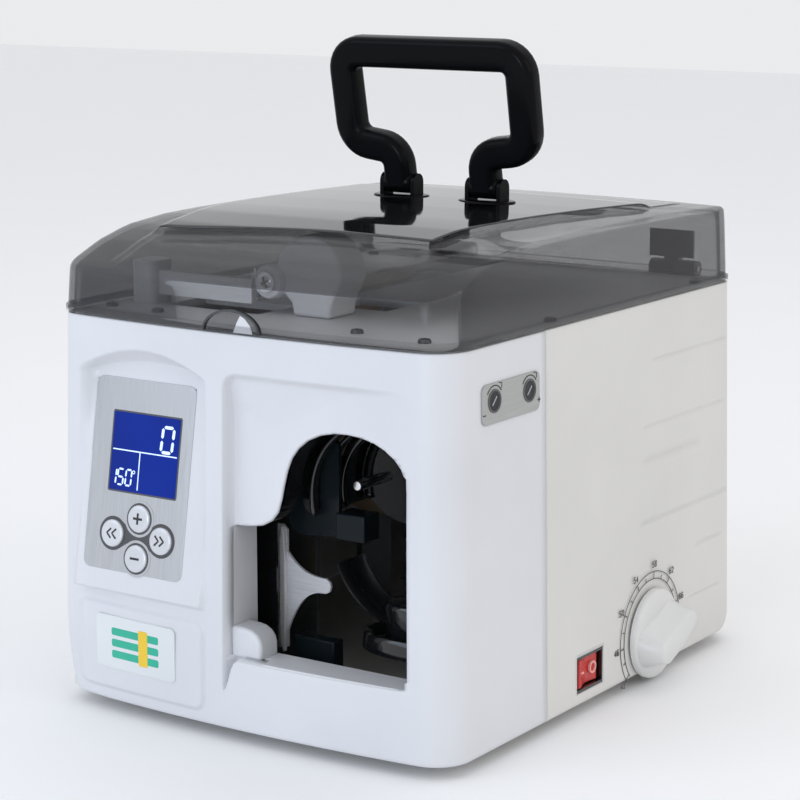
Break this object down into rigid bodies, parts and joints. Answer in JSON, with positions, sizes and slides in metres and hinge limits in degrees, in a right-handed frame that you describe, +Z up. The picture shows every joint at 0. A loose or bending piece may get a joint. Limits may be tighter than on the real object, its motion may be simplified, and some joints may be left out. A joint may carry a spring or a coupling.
{
  "type": "banknote binding machine",
  "caption": "Bench-top machine that binds a bundle of banknotes with heat-sealed paper tape: arched note slot, clear hinged lid, folding carry handle, depth dial.",
  "frame": {"origin": "middle of the whole footprint, depth dial included, on the surface that the feet stand on", "axes": "+X to the machine's right as its user faces it, +Y to the back, +Z up"},
  "size_m": [0.2164, 0.2552, 0.2742],
  "materials": {
    "black_gloss": "glossy moulded plastic",
    "board_green": "lacquered board",
    "bright_steel": "polished",
    "clear_window": "clear window",
    "frame_steel": "plated sheet",
    "front_white": "satin moulded plastic",
    "gear_nylon": "moulded nylon",
    "grey_plastic": "moulded plastic",
    "heater_brass": "plain",
    "key_silver": "domed keys",
    "knob_white": "satin moulded plastic",
    "kraft_paper": "plain paper",
    "panel_silver": "brushed overlay",
    "side_white": "fine matt moulded plastic",
    "smoked_clear": "clear smoked plastic",
    "soft_rubber": "matt",
    "switch_red": "glossy moulded plastic"
  },
  "bodies": {
    "machine": {"base_plate": "frame_steel", "rubber_feet": "soft_rubber", "feet_screws": "bright_steel", "front_cover": "front_white", "main_housing": "side_white", "upper_deck": "grey_plastic", "control_panel": "panel_silver", "lcd_window": "clear_window", "display_board": "board_green", "name_plate": "key_silver", "slot_liner": "black_gloss", "upper_tape_guide": "black_gloss", "lower_tape_guide": "black_gloss", "tape_tongue": "bright_steel", "front_frame": "frame_steel", "rear_frame": "frame_steel", "feed_motor": "frame_steel", "cam_motor": "frame_steel", "press_bed": "frame_steel", "stop_rail": "bright_steel", "dial_bracket": "frame_steel", "adjuster_plate": "panel_silver", "switch_frame": "black_gloss", "mains_inlet": "black_gloss", "reel_brackets": "frame_steel", "reel_spindle": "bright_steel", "paper_tape": "kraft_paper", "transformer": "frame_steel", "guide_rail": "grey_plastic", "bridge_guide": "grey_plastic", "pivot_screw": "bright_steel", "turn_bar": "bright_steel", "hinge_brackets": "frame_steel", "hinge_pins": "bright_steel"},
    "lid": {"lid": "smoked_clear", "lid_hinges": "smoked_clear", "handle_seats": "black_gloss", "handle_pins": "bright_steel"},
    "carry_handle": {"handle": "black_gloss"},
    "position_dial": {"dial_knob": "knob_white", "dial_shaft": "bright_steel"},
    "note_stop": {"note_stop": "grey_plastic"},
    "power_rocker": {"power_rocker": "switch_red"},
    "feed_roller": {"feed_shaft": "bright_steel", "feed_tyre": "soft_rubber"},
    "motor_pinion": {"motor_pinion": "bright_steel"},
    "pinch_arm": {"pinch_arm": "bright_steel"},
    "pinch_roller": {"pinch_roller": "soft_rubber"},
    "cam": {"spiral_cam": "bright_steel"},
    "press": {"press_carriage": "frame_steel", "heater_block": "heater_brass", "cutter_blade": "bright_steel"},
    "reel": {"reel_spool": "gear_nylon", "paper_roll": "kraft_paper"},
    "key_plus": {"key_plus": "key_silver"},
    "key_minus": {"key_minus": "key_silver"},
    "key_left": {"key_left": "key_silver"},
    "key_right": {"key_right": "key_silver"},
    "tension_screw_front": {"tension_screw_front": "bright_steel"},
    "tension_screw_rear": {"tension_screw_rear": "bright_steel"}
  },
  "joints": [
    {"name": "lid_opening", "type": "hinge", "parent": "machine", "child": "lid", "pos_m": [-0.00775, 0.123, 0.167], "axis": [-1, 0, 0], "range_deg": [0, 95]},
    {"name": "handle_fold", "type": "hinge", "parent": "lid", "child": "carry_handle", "pos_m": [-0.01, 0.025, 0.2102], "axis": [-1, 0, 0], "range_deg": [0, 92]},
    {"name": "dial_turn", "type": "hinge", "parent": "machine", "child": "position_dial", "pos_m": [0.09225, 0.038, 0.0215], "axis": [-1, 0, 0], "range_deg": [-57.3, 171.89]},
    {"name": "stop_travel", "type": "slide", "parent": "machine", "child": "note_stop", "axis": [0, 1, 0], "range_m": [-0.006, 0.018]},
    {"name": "switch_rock", "type": "hinge", "parent": "machine", "child": "power_rocker", "pos_m": [0.08175, -0.01375, 0.01775], "axis": [0, 0, -1], "range_deg": [0, 16]},
    {"name": "key_plus_press", "type": "slide", "parent": "machine", "child": "key_plus", "axis": [0, 0.9871, -0.1599], "range_m": [0, 0.0007], "stiffness_N_per_m": 600},
    {"name": "key_minus_press", "type": "slide", "parent": "machine", "child": "key_minus", "axis": [0, 0.9871, -0.1599], "range_m": [0, 0.0007], "stiffness_N_per_m": 600},
    {"name": "key_left_press", "type": "slide", "parent": "machine", "child": "key_left", "axis": [0, 0.9871, -0.1599], "range_m": [0, 0.0007], "stiffness_N_per_m": 600},
    {"name": "key_right_press", "type": "slide", "parent": "machine", "child": "key_right", "axis": [0, 0.9871, -0.1599], "range_m": [0, 0.0007], "stiffness_N_per_m": 600},
    {"name": "tension_screw_front_turn", "type": "hinge", "parent": "machine", "child": "tension_screw_front", "pos_m": [0.08566, -0.0882, 0.14328], "axis": [0.9998, 0, 0.0187], "range_deg": [-175, 175]},
    {"name": "tension_screw_rear_turn", "type": "hinge", "parent": "machine", "child": "tension_screw_rear", "pos_m": [0.08566, -0.0624, 0.14328], "axis": [0.9998, 0, 0.0187], "range_deg": [-175, 175]},
    {"name": "feed_turn", "type": "hinge", "parent": "machine", "child": "feed_roller", "pos_m": [-0.04775, -0.06, 0.127], "axis": [0, 1, 0], "continuous": true},
    {"name": "motor_turn", "type": "hinge", "parent": "machine", "child": "motor_pinion", "pos_m": [-0.06575, -0.05, 0.127], "axis": [0, 1, 0], "continuous": true},
    {"name": "pinch_lift", "type": "hinge", "parent": "machine", "child": "pinch_arm", "pos_m": [-0.07575, -0.08, 0.146], "axis": [0, -1, 0], "range_deg": [0, 12], "stiffness_Nm_per_rad": 0.2},
    {"name": "pinch_spin", "type": "hinge", "parent": "pinch_arm", "child": "pinch_roller", "pos_m": [-0.04775, -0.067, 0.1413], "axis": [0, 1, 0], "continuous": true},
    {"name": "cam_turn", "type": "hinge", "parent": "machine", "child": "cam", "pos_m": [-0.07375, -0.06, 0.055], "axis": [0, -1, 0], "range_deg": [0, 170]},
    {"name": "press_travel", "type": "slide", "parent": "machine", "child": "press", "axis": [1, 0, 0], "range_m": [0, 0.008]},
    {"name": "reel_turn", "type": "hinge", "parent": "machine", "child": "reel", "pos_m": [-0.04575, 0.05, 0.109], "axis": [1, 0, 0], "continuous": true}
  ],
  "couplings": [
    {"joint": "dial_turn", "follows": "stop_travel", "rad_per_m": 166.67},
    {"joint": "motor_turn", "follows": "feed_turn", "ratio": -2},
    {"joint": "pinch_spin", "follows": "feed_turn", "ratio": -1.3333},
    {"joint": "cam_turn", "follows": "press_travel", "rad_per_m": 370.88}
  ]
}
